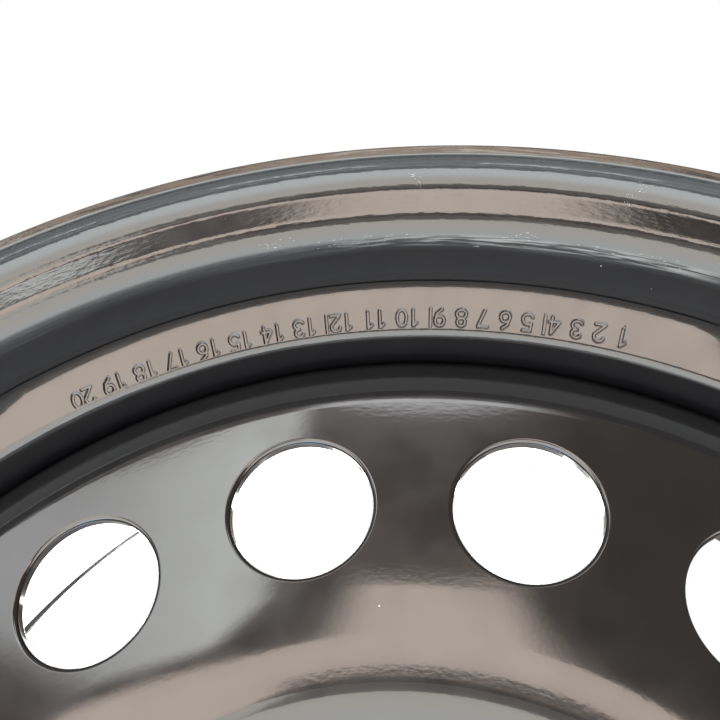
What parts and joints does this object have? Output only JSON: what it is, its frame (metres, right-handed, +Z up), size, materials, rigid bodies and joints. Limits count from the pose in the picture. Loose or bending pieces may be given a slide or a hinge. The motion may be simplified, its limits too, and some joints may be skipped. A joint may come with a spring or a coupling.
{
  "type": "steel wheel",
  "caption": "Pressed-steel car wheel with a rolled drop-centre rim, a domed disc with round vents and a flat hub seat",
  "frame": {"origin": "The wheel's centre: on its axis, midway between the two flanges.", "axes": "Y is the wheel's axis, -Y the street side, +Y the hub's side. +Z is up as the wheel stands, with the valve hole at the foot."},
  "size_m": [0.4721, 0.2026, 0.4722],
  "materials": {
    "rim_paint": "gloss",
    "disc_paint": "gloss",
    "weld_paint": "gloss"
  },
  "bodies": {
    "root": {"rim": "rim_paint", "disc": "disc_paint", "weld_beads": "weld_paint"}
  },
  "joints": []
}
